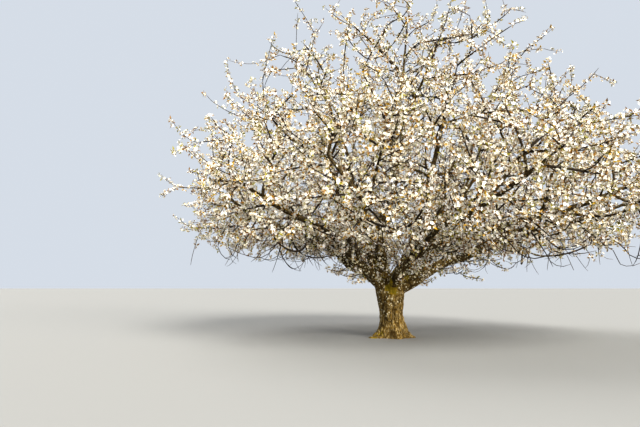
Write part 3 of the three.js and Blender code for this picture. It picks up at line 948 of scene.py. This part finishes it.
def family_twigs(name, members):
    """All thin twigs of a family in one mesh, the thicker ones with more sides."""
    sets = [thin_twigs(masses[i]) for i in members]
    offset = np.cumsum([0] + [len(masses[i].twigs) for i in members])
    rings = [np.concatenate([s[k] for s in sets]) for k in range(3)]
    rings.append(np.concatenate([s[3] + shift for s, shift in zip(sets, offset)]))
    chain = rings[3]
    first = np.flatnonzero(np.diff(chain, prepend=-1))
    width = np.repeat(np.maximum.reduceat(rings[2], first), np.diff(np.append(first, len(chain))))
    parts = [tubes_of(rings, 3, width <= THIN), tubes_of(rings, 6, width > THIN)]
    vertices, faces = joined([part[:3] for part in parts])
    slots = np.concatenate([slot for part in parts for slot in part[3:]])
    return add_piece("twigs_" + name, vertices, faces, slots, True)


twig_pieces = {name: family_twigs(name, members) for name, members in FAMILIES.items()}
for piece in twig_pieces.values():
    print(piece.name, len(piece.data.polygons), "faces")

# %% [markdown]
# ## Where the blossom sits
#
# A cherry flowers on short spurs all along its twigs, each with a cluster of four or five flowers on thin
# stalks, and a few young leaves. A cluster every hand's width, turned on from the one before by the angle
# that a sunflower uses, never lines up. In the shade inside the crown there are few, and none grow on thick
# wood or on the twigs that hang under the crown.

# %% Spurs along the twigs
SPUR_STEP = 0.105
SPUR_LENGTH = 0.008
SHADE_SHARE = 0.15
SHOOT_SHARE = 0.85
TOO_THICK = 0.034
UNDERSIDE = 1.8
AIRY_FROM = 4.4


def spurs_of(mass):
    """Spur k sits where its twig's distance from the limb reaches k times the step. Gives the places,
    headings and radii of the twigs there, their nodes' numbers and k."""
    node = np.arange(mass.count)
    source = mass.parent[:mass.count]
    start = mass.start[:mass.count]
    start_way = np.where(source < 0, 0, mass.way[source])
    end_way = mass.way[:mass.count]
    before = np.floor(start_way / SPUR_STEP).astype(int)
    number = np.floor(end_way / SPUR_STEP).astype(int) - before
    owner = np.repeat(node, number)
    rank = np.arange(number.sum()) - np.repeat(np.cumsum(number) - number, number)
    k = before[owner] + 1 + rank
    share = (k * SPUR_STEP - start_way[owner]) / (end_way - start_way)[owner]
    place = start[owner] + share[:, None] * (mass.at[owner] - start[owner])
    return place, mass.towards[owner], mass.radius[owner], owner, k


def flowering(place, radius, on_bough):
    """The share of spurs in flower: more towards the surface, less on thick wood, none below the underside
    and fewer in the airy top. The short shoots on the boughs flower well too."""
    lit = SHADE_SHARE + (1 - SHADE_SHARE) * smooth((fullness(place) - 0.4) / 0.38)
    thin = smooth((TOO_THICK - radius) / 0.02)
    above = smooth((place[:, 2] - UNDERSIDE) / 0.4)
    airy = 1 - 0.35 * smooth((place[:, 2] - AIRY_FROM) / 2.4)
    return np.where(on_bough, SHOOT_SHARE, lit * thin * above) * airy


clusters = []
for mass in masses:
    place, along, radius, owner, number = spurs_of(mass)
    tips = np.setdiff1d(np.arange(mass.count), mass.parent[:mass.count])
    place = np.vstack([place, mass.at[tips]])
    along = np.vstack([along, mass.towards[tips]])
    radius = np.append(radius, mass.radius[tips])
    owner = np.append(owner, tips)
    key = 1000 * mass.owner + 0.37 * owner + np.append(number, np.full(len(tips), 500))
    flower = chance(key, 31) < flowering(place, radius, owner >= mass.grown)
    side = square_to(along, GOLDEN_TURN * np.arange(len(key)) + FULL_TURN * chance(key, 32))
    outward = unit(place - CROWN_MIDDLE)
    axis = unit(side + 0.3 * along + 0.35 * outward + np.array([0, 0, 0.25]))
    base = place + side * (radius[:, None] + SPUR_LENGTH)
    clusters.append((base[flower], axis[flower], key[flower]))
print(sum(len(c[0]) for c in clusters), "clusters of blossom")

# %% [markdown]
# ## Flowers
#
# A cherry flower has five broad white petals round a tuft of stamens. From a few steps away a petal is a
# bright fleck with a soft fold, so each one is a kite of two faces that rises towards its tip, and the
# flower is a shallow cup. The petals of all flowers are one array, the small shape times each flower's own
# directions.

# %% The shapes of a flower, its stamens and a leaf
FLOWERS = 4
FLOWER_RADIUS = 0.03
STALK = 0.044


def flower_shape():
    """Petal k is a kite: the centre, and corners at turns 72k - 31, 72k and 72k + 31 degrees, at 0.7, 1 and
    0.7 of the radius, lifted by 0.14, 0.3 and 0.14 of it."""
    turn = np.radians(72 * np.arange(5)[:, None] + np.array([-31, 0, 31])).ravel()
    out = np.tile([0.7, 1, 0.7], 5)
    lift = np.tile([0.14, 0.3, 0.14], 5)
    corners = np.column_stack([out * np.cos(turn), out * np.sin(turn), lift])
    left = 1 + 3 * np.arange(5)
    middle = 0 * left
    faces = np.vstack([
        np.column_stack([middle, left, left + 1]),
        np.column_stack([middle, left + 1, left + 2]),
    ])
    return np.vstack([[[0, 0, 0]], corners]), faces


def tuft_shape():
    """Stamens as a low pyramid of three faces: corners at 120 degrees, and its tip above the middle."""
    turn = np.radians([0, 120, 240])
    corners = np.column_stack([0.26 * np.cos(turn), 0.26 * np.sin(turn), np.full(3, 0.06)])
    return np.vstack([corners, [[0, 0, 0.42]]]), np.array([[0, 1, 3], [1, 2, 3], [2, 0, 3]])


def leaf_shape():
    """A leaf folded along its middle: its root, its tip and a corner on each side, above the fold."""
    corners = np.array([[0, 0, 0], [0.45, 0.21, 0.1], [1, 0, -0.06], [0.45, -0.21, 0.1]])
    return corners, np.array([[0, 2, 1], [0, 3, 2]])


def scatter(shape, places, frames, sizes):
    """Place + size · (x · first + y · second + z · third direction) for every corner of every copy."""
    corners, faces = shape
    vertices = places[:, None] + sizes[:, None, None] * np.einsum("vk,nkd->nvd", corners, frames)
    copies = faces[None] + len(corners) * np.arange(len(places))[:, None, None]
    return vertices.reshape(-1, 3), copies.reshape(-1, 3)


def frames_on(axes, spin):
    """Three directions for each axis, the third along it and the other two turned about it by the spin."""
    first = square_to(axes, spin)
    return np.stack([first, np.cross(axes, first), axes], axis=1)


# %% [markdown]
# ## Clusters of flowers and young leaves
#
# One flower of a cluster looks along the spur's own direction and the others lean out round it, so that a
# cluster is a small ball of flowers. Petals are a warm white, cream or a greyer white that is painted shade,
# young leaves bronze, ochre or yellow-green. Each cluster takes one colour of each kind by chance, and every
# material stays one plain colour, because the mixture of thousands of plain flecks is what the eye sees.

# %% Flowers, stamens and leaves for each family
FOURTH_FLOWER = 0.8
LEAVES = 3
LEAF_LENGTH = 0.072
PETAL_SHARES = (0.55, 0.83)
LEAF_SHARES = (0.4, 0.72)


def leaning(axis, key, rank, count, tilt):
    """Directions that lean from the axis by the tilt, at equal turns round it plus a turn by chance."""
    frame = frames_on(axis, FULL_TURN * (rank / count + chance(key, 41)))
    tilt = tilt[:, None]
    return unit(np.cos(tilt) * axis + np.sin(tilt) * frame[:, 0])


def dealt(draw, shares):
    """0, 1 or 2 for a draw below the first share, below the second, or above both."""
    return (draw > shares[0]).astype(int) + (draw > shares[1])


def add_flowers(name, base, axis, key, size):
    """Three or four flowers for each cluster, as petals and stamens: the first looks along the axis, the
    others lean out from it, and each has a stalk, a nod and a spin of its own by chance."""
    rank = np.tile(np.arange(FLOWERS), len(key))
    own = np.repeat(np.arange(len(key)), FLOWERS)
    keep = (rank < FLOWERS - 1) | (chance(key[own] + rank, 43) < FOURTH_FLOWER)
    rank, own = rank[keep], own[keep]
    flower_key = key[own] + 0.19 * rank
    tilt = np.where(rank == 0, 0.15, 1.0 + 0.35 * chance(flower_key, 44))
    out = leaning(axis[own], key[own], rank, FLOWERS - 1, tilt)
    places = base[own] + out * (STALK * size[own] * (0.8 + 0.4 * chance(flower_key, 45)))[:, None]
    nod = np.column_stack([chance(flower_key, 46 + k) - 0.5 for k in range(3)])
    frames = frames_on(unit(out + 0.7 * nod), FULL_TURN * chance(flower_key, 49))
    sizes = FLOWER_RADIUS * size[own]
    slots = dealt(chance(key, 50), PETAL_SHARES)[own]
    points, faces = scatter(flower_shape(), places, frames, sizes)
    petals = add_piece("petals_" + name, points, [faces], np.repeat(slots, 10))
    points, faces = scatter(tuft_shape(), places, frames, sizes)
    return petals, add_piece("stamens_" + name, points, [faces])


def add_leaves(name, base, axis, key, size):
    """Three leaves for each cluster, each leaning out from the axis, with its hollow side towards it."""
    rank = np.tile(np.arange(LEAVES), len(key))
    own = np.repeat(np.arange(len(key)), LEAVES)
    leaf_key = key[own] + 0.23 * rank
    out = leaning(axis[own], key[own] + 3, rank, LEAVES, 0.7 + 0.9 * chance(leaf_key, 51))
    upward = unit(np.cross(np.cross(out, axis[own] + 0.001), out))
    frames = np.stack([out, np.cross(upward, out), upward], axis=1)
    sizes = LEAF_LENGTH * size[own] * (0.7 + 0.6 * chance(leaf_key, 52))
    slots = dealt(chance(key, 53), LEAF_SHARES)[own]
    points, faces = scatter(leaf_shape(), base[own] + 0.3 * STALK * out, frames, sizes)
    return add_piece("leaves_" + name, points, [faces], np.repeat(slots, 2))


def family_blossom(name, members):
    """The petals, stamens and leaves of a family, as three pieces."""
    base, axis, key = (np.concatenate([clusters[i][k] for i in members]) for k in range(3))
    size = 0.85 + 0.35 * chance(key, 42)
    return *add_flowers(name, base, axis, key, size), add_leaves(name, base, axis, key, size)


blossom_pieces = {name: family_blossom(name, members) for name, members in FAMILIES.items()}
for pieces in blossom_pieces.values():
    print([(piece.name, len(piece.data.polygons)) for piece in pieces])

# %% [markdown]
# ## Bark from node groups
#
# The bark's look is a few effects that lie on top of each other: the plates' own colours, with a pale
# colour on their raised tops that is partly painted highlight, dark cracks that are partly painted shade,
# pale lichen, and moss. The plates, the lichen and the moss are node groups with named inputs, so that both
# barks can use them, and the cracks are already kept on the skin. The plates read the grain, so that they
# run along the wood, and the age goes from upright plates on the trunk to dark rings on the boughs without
# a seam.

# %% Helpers for node trees
def add_node(tree, kind, feeds=None, **settings):
    """A node with its settings. Each input is fed by a socket, or set to a value."""
    made = tree.nodes.new(kind)
    for label, value in settings.items():
        setattr(made, label, value)
    for label, value in (feeds or {}).items():
        if isinstance(value, bpy.types.NodeSocket):
            tree.links.new(value, made.inputs[label])
        else:
            made.inputs[label].default_value = value
    return made


def new_group(name, inputs, outputs):
    """A node group with sockets from (name, kind, value) and (name, kind), and its two end nodes."""
    group = bpy.data.node_groups.new(name, "ShaderNodeTree")
    for label, kind, value in inputs:
        socket = group.interface.new_socket(label, in_out="INPUT", socket_type="NodeSocket" + kind)
        if value is not None:
            socket.default_value = value
    for label, kind in outputs:
        group.interface.new_socket(label, in_out="OUTPUT", socket_type="NodeSocket" + kind)
    return group, group.nodes.new("NodeGroupInput").outputs, group.nodes.new("NodeGroupOutput").inputs


def step_of(tree, value, low_end, high_end):
    """The socket of the smooth step of a value between two ends."""
    feeds = {"Value": value, "From Min": low_end, "From Max": high_end}
    kind = "ShaderNodeMapRange"
    return add_node(tree, kind, feeds, interpolation_type="SMOOTHSTEP").outputs["Result"]


def blend(tree, share, first, second):
    """The socket of the mixture of two colours by a share."""
    return add_node(tree, "ShaderNodeMix", {0: share, 6: first, 7: second}, data_type="RGBA").outputs[2]


def mix(tree, share, first, second):
    """The socket of the mixture of two values by a share."""
    return add_node(tree, "ShaderNodeMix", {0: share, 2: first, 3: second}, data_type="FLOAT").outputs[0]


def maths(tree, operation, first, second):
    """The socket of a sum, a difference, a product or a quotient of two values."""
    return add_node(tree, "ShaderNodeMath", {0: first, 1: second}, operation=operation).outputs[0]


def noise_on(tree, place, scale, detail, roughness):
    """The socket of noise on a place, with a few finer layers of itself on top."""
    feeds = {"Vector": place, "Scale": scale, "Detail": detail, "Roughness": roughness}
    return add_node(tree, "ShaderNodeTexNoise", feeds).outputs["Fac"]


# %% The groups for plates, lichen and moss
def plates_group():
    """Noise on the grain, drawn out along it, is the tone of the plates. The distance to the edge of cells,
    drawn out the same way, is 0 in the cracks between scales. Height joins both."""
    inputs = [("Grain", "Vector", None), ("Scale", "Float", 12.0), ("Stretch", "Float", 3.0)]
    group, given, made = new_group("Bark Plates", inputs, [("Tone", "Float"), ("Height", "Float")])
    shrunk = maths(group, "DIVIDE", 1.0, given["Stretch"])
    scale = add_node(group, "ShaderNodeCombineXYZ", {"X": 1.0, "Y": 1.0, "Z": shrunk}).outputs[0]
    feeds = {0: given["Grain"], 1: scale}
    place = add_node(group, "ShaderNodeVectorMath", feeds, operation="MULTIPLY").outputs[0]
    tone = noise_on(group, place, given["Scale"], 6.0, 0.65)
    feeds = {"Vector": place, "Scale": given["Scale"]}
    cells = add_node(group, "ShaderNodeTexVoronoi", feeds, feature="DISTANCE_TO_EDGE").outputs["Distance"]
    edges = maths(group, "MULTIPLY", step_of(group, cells, 0.0, 0.16), 0.5)
    group.links.new(tone, made["Tone"])
    group.links.new(maths(group, "ADD", tone, edges), made["Height"])
    return group


def lichen_group():
    """Specks where cells are near their middle, with edges made ragged by fine noise, kept only inside
    large patches of noise."""
    inputs = [("Place", "Vector", None), ("Scale", "Float", 16.0), ("Amount", "Float", 0.3)]
    group, given, made = new_group("Lichen Specks", inputs, [("Mask", "Float")])
    place = given["Place"]
    feeds = {"Vector": place, "Scale": given["Scale"]}
    cells = add_node(group, "ShaderNodeTexVoronoi", feeds).outputs["Distance"]
    ragged = maths(group, "ADD", cells, noise_on(group, place, 45.0, 4.0, 0.7))
    speck = step_of(group, ragged, 0.86, 0.66)
    edge = maths(group, "SUBTRACT", 0.75, given["Amount"])
    far = maths(group, "ADD", edge, 0.12)
    patch = step_of(group, noise_on(group, place, 4.0, 5.0, 0.7), edge, far)
    group.links.new(maths(group, "MULTIPLY", speck, patch), made["Mask"])
    return group


def moss_group():
    """The moss painted on the skin, broken up by fine noise that is also its height, and a colour that goes
    from ochre to green."""
    inputs = [
        ("Moss", "Float", 0.0),
        ("Place", "Vector", None),
        ("Dry", "Color", (0.34, 0.22, 0.015, 1)),
        ("Green", "Color", (0.16, 0.14, 0.01, 1)),
    ]
    outputs = [("Mask", "Float"), ("Color", "Color"), ("Height", "Float")]
    group, given, made = new_group("Moss", inputs, outputs)
    fine = noise_on(group, given["Place"], 38.0, 4.0, 0.7)
    wide = noise_on(group, given["Place"], 13.0, 6.0, 0.75)
    total = maths(group, "ADD", maths(group, "MULTIPLY", given["Moss"], 0.55), fine)
    share = step_of(group, wide, 0.38, 0.62)
    group.links.new(step_of(group, total, 0.72, 0.98), made["Mask"])
    group.links.new(blend(group, share, given["Dry"], given["Green"]), made["Color"])
    group.links.new(maths(group, "MULTIPLY", fine, 1.6), made["Height"])
    return group


plates, lichen, moss = plates_group(), lichen_group(), moss_group()


# %% The two bark materials
# Each bark's pale colour goes on its raised plates, and is partly weathered bark and partly a painted
# highlight.
OLD_BARK = {"dark": (0.036, 0.02, 0.003, 1), "body": (0.24, 0.15, 0.033, 1), "pale": (0.4, 0.315, 0.155, 1)}
YOUNG_BARK = {"dark": (0.01, 0.007, 0.003, 1), "body": (0.07, 0.045, 0.016, 1), "pale": (0.2, 0.15, 0.07, 1)}
LICHEN = (0.8, 0.74, 0.52, 1)
BUMP_DEPTH = 0.012


def pattern(tree, grain, scale, stretch):
    """The tone and the height of plates of one scale and stretch."""
    feeds = {"Grain": grain, "Scale": scale, "Stretch": stretch}
    skin = add_node(tree, "ShaderNodeGroup", feeds, node_tree=plates)
    return skin.outputs["Tone"], skin.outputs["Height"]


def growth(tree, colour, height, mossy, crusted):
    """A colour and a height with specks of lichen and then moss on top."""
    place = add_node(tree, "ShaderNodeTexCoord").outputs["Object"]
    specks = add_node(tree, "ShaderNodeGroup", {"Place": place, "Amount": crusted}, node_tree=lichen)
    green = add_node(tree, "ShaderNodeGroup", {"Moss": mossy, "Place": place}, node_tree=moss)
    colour = blend(tree, specks.outputs["Mask"], colour, LICHEN)
    colour = blend(tree, green.outputs["Mask"], colour, green.outputs["Color"])
    return colour, mix(tree, green.outputs["Mask"], height, green.outputs["Height"])


def bark(name, bump):
    """Upright plates on old wood and rings on young wood, mixed by the wood's age, each with dark and body
    colours by its tone, a pale colour on its raised plates that is partly painted highlight, and dark in the
    cracks as darker inner bark and painted shade, with lichen and then moss on top."""
    made = bpy.data.materials.new(name)
    made.use_nodes = True
    tree = made.node_tree
    shader = tree.nodes["Principled BSDF"]
    grain = add_node(tree, "ShaderNodeAttribute", attribute_name="grain").outputs["Vector"]
    age, crack, mossy, crusted = (
        add_node(tree, "ShaderNodeAttribute", attribute_name=kept).outputs["Fac"]
        for kept in ("age", "crack", "moss", "lichen")
    )
    dark, body, pale = (blend(tree, age, YOUNG_BARK[part], OLD_BARK[part]) for part in OLD_BARK)
    ring_tone, ring_height = pattern(tree, grain, 30.0, 0.7)
    plate_tone, plate_height = pattern(tree, grain, 22.0, 2.6)
    tone, height = mix(tree, age, ring_tone, plate_tone), mix(tree, age, ring_height, plate_height)

    colour = blend(tree, step_of(tree, tone, 0.36, 0.54), dark, body)
    # The pale colour on the raised plates is partly weathered bark and partly a painted highlight.
    colour = blend(tree, step_of(tree, height, 0.86, 1.1), colour, pale)
    # Darkening the cracks is partly darker inner bark and partly painted shade in the recesses.
    colour = blend(tree, maths(tree, "MULTIPLY", crack, 0.85), colour, dark)
    colour, height = growth(tree, colour, height, mossy, crusted)
    tree.links.new(colour, shader.inputs["Base Color"])

    rough = add_node(tree, "ShaderNodeMapRange", {"Value": tone, "To Min": 0.7, "To Max": 1.0}).outputs[0]
    tree.links.new(rough, shader.inputs["Roughness"])
    shader.inputs["Specular IOR Level"].default_value = 0.15
    bumps = add_node(tree, "ShaderNodeBump", {"Height": height, "Strength": bump, "Distance": BUMP_DEPTH})
    tree.links.new(bumps.outputs["Normal"], shader.inputs["Normal"])
    return made


trunk_bark = bark("trunk_bark", bump=0.8)
bough_bark = bark("bough_bark", bump=0.7)

# %% [markdown]
# ## Plain colours for twigs, petals and leaves
#
# Thousands of small things in one mesh have no pattern of their own that could show. Their variety is in
# which of a few plain colours each twig or cluster has been dealt.

# %% Plain materials, and one for each slot
def plain(name, colour, roughness):
    """A material of one colour."""
    made = bpy.data.materials.new(name)
    made.use_nodes = True
    shader = made.node_tree.nodes["Principled BSDF"]
    shader.inputs["Base Color"].default_value = (*colour, 1)
    shader.inputs["Roughness"].default_value = roughness
    shader.inputs["Specular IOR Level"].default_value = 0.25
    return made


TWIG_COLOURS = [
    plain("twig_old", (0.027, 0.018, 0.01), 0.8),
    plain("twig_grey", (0.048, 0.035, 0.021), 0.75),
    plain("twig_young", (0.06, 0.028, 0.011), 0.6),
]
PETAL_COLOURS = [
    plain("petal_white", (0.8, 0.775, 0.7), 0.6),
    plain("petal_cream", (0.77, 0.71, 0.56), 0.6),
    # The third petal colour is painted shade: a greyer, darker copy of the white, dealt to clusters by
    # chance.
    plain("petal_cool", (0.71, 0.695, 0.68), 0.6),
]
TUFT_COLOUR = [plain("stamens", (0.4, 0.25, 0.04), 0.7)]
LEAF_COLOURS = [
    plain("leaf_bronze", (0.22, 0.105, 0.012), 0.5),
    plain("leaf_ochre", (0.4, 0.235, 0.018), 0.5),
    plain("leaf_yellow_green", (0.25, 0.22, 0.028), 0.5),
]


def wear(piece, materials):
    """Gives a piece its materials, in the order of its slots."""
    for material in materials:
        piece.data.materials.append(material)


wear(bark_trunk, [trunk_bark])
for piece in bark_boughs.values():
    wear(piece, [bough_bark])
for name in FAMILIES:
    petals, stamens, leaves = blossom_pieces[name]
    wear(twig_pieces[name], TWIG_COLOURS)
    wear(petals, PETAL_COLOURS)
    wear(stamens, TUFT_COLOUR)
    wear(leaves, LEAF_COLOURS)
print(len(bpy.data.materials), "materials")

# %% [markdown]
# ## Which solid each piece stands for
#
# The tree is rooted, so every piece rides on its one body. The bark skins stand for the trunk, the boughs
# and the limbs, and a family's twigs, petals, stamens and leaves together stand for its masses of blossom.

# %% Riding and replacing
def stand_for(piece, solids):
    """The piece rides on the tree's one body and replaces the solids."""
    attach(piece, "root")
    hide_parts(*solids)


stand_for(bark_trunk, ["trunk"])
for side, names in WOOD_SIDES.items():
    stand_for(bark_boughs[side], [limbs[i].name for n in names for i in FAMILIES[n]])
for name, members in FAMILIES.items():
    solids = ["blossom_" + limbs[i].name.split("_", 1)[1] for i in members]
    stand_for(twig_pieces[name], solids)
    for piece in blossom_pieces[name]:
        stand_for(piece, solids)

# %% [markdown]
# ## Floor, light and camera
#
# The tree stands on a plain pale floor under a wide pale sky. Petals let light through, and opaque ones
# don't, so one lamp would leave half of them dark. Three wide, soft lamps make up for that: the strongest
# high in front on the right, one high behind on the left, and one low in front on the right, whose light
# reaches the trunk under the crown. The sky fills the rest, and looks brighter to the camera than it
# shines. The camera looks slightly up from a little over a metre above the ground, through a wide lens, as
# in the photograph.

# %% Stage, light and camera
FLOOR_HALF = 300
FLOOR_COLOUR = (0.235, 0.235, 0.228)
SKY_COLOUR = (0.67, 0.72, 0.79, 1)
SKY_LIGHT = 0.45
SKY_SEEN = 0.86
EYE = (-1.67, -11.05, 1.155)
LOOK_UP = 9
FOCAL_LENGTH = 26
FILM_WIDTH = 36

corners = FLOOR_HALF * np.array([[-1, -1, 0], [1, -1, 0], [1, 1, 0], [-1, 1, 0]])
floor = add_piece("floor", corners, [np.array([[0, 1, 2, 3]])])
wear(floor, [plain("floor", FLOOR_COLOUR, 0.9)])

sky = bpy.data.worlds.new("sky")
sky.use_nodes = True
nodes = sky.node_tree.nodes
nodes["Background"].inputs["Color"].default_value = SKY_COLOUR
seen = add_node(sky.node_tree, "ShaderNodeLightPath").outputs["Is Camera Ray"]
feeds = {"Value": seen, "To Min": SKY_LIGHT, "To Max": SKY_SEEN}
strength = add_node(sky.node_tree, "ShaderNodeMapRange", feeds)
sky.node_tree.links.new(strength.outputs["Result"], nodes["Background"].inputs["Strength"])
bpy.context.scene.world = sky


def add_sun(name, energy, spread, colour, shines):
    """A sun lamp with an energy, a spread in degrees, a colour and the direction that it shines in."""
    lamp = bpy.data.lights.new(name, "SUN")
    lamp.energy = energy
    lamp.angle = math.radians(spread)
    lamp.color = colour
    sun = bpy.data.objects.new(name, lamp)
    sun.rotation_euler = Vector(shines).to_track_quat("-Z", "Y").to_euler()
    bpy.context.scene.collection.objects.link(sun)


add_sun("high_sun", energy=5.8, spread=30, colour=(1.0, 0.98, 0.92), shines=(-0.4, 0.9, -0.75))
add_sun("back_sun", energy=3.0, spread=50, colour=(1.0, 0.98, 0.95), shines=(0.5, -0.4, -1.0))
add_sun("low_fill", energy=2.8, spread=30, colour=(1.0, 0.93, 0.84), shines=(-0.7, 0.7, -0.18))

lens = bpy.data.cameras.new("camera")
lens.lens = FOCAL_LENGTH
lens.sensor_width = FILM_WIDTH
lens.clip_end = 1000
camera = bpy.data.objects.new("camera", lens)
camera.location = EYE
camera.rotation_euler = (math.radians(90 + LOOK_UP), 0, 0)
bpy.context.scene.collection.objects.link(camera)
bpy.context.scene.camera = camera
bpy.context.scene.view_settings.view_transform = "Standard"
bpy.context.scene.view_settings.look = "Medium High Contrast"
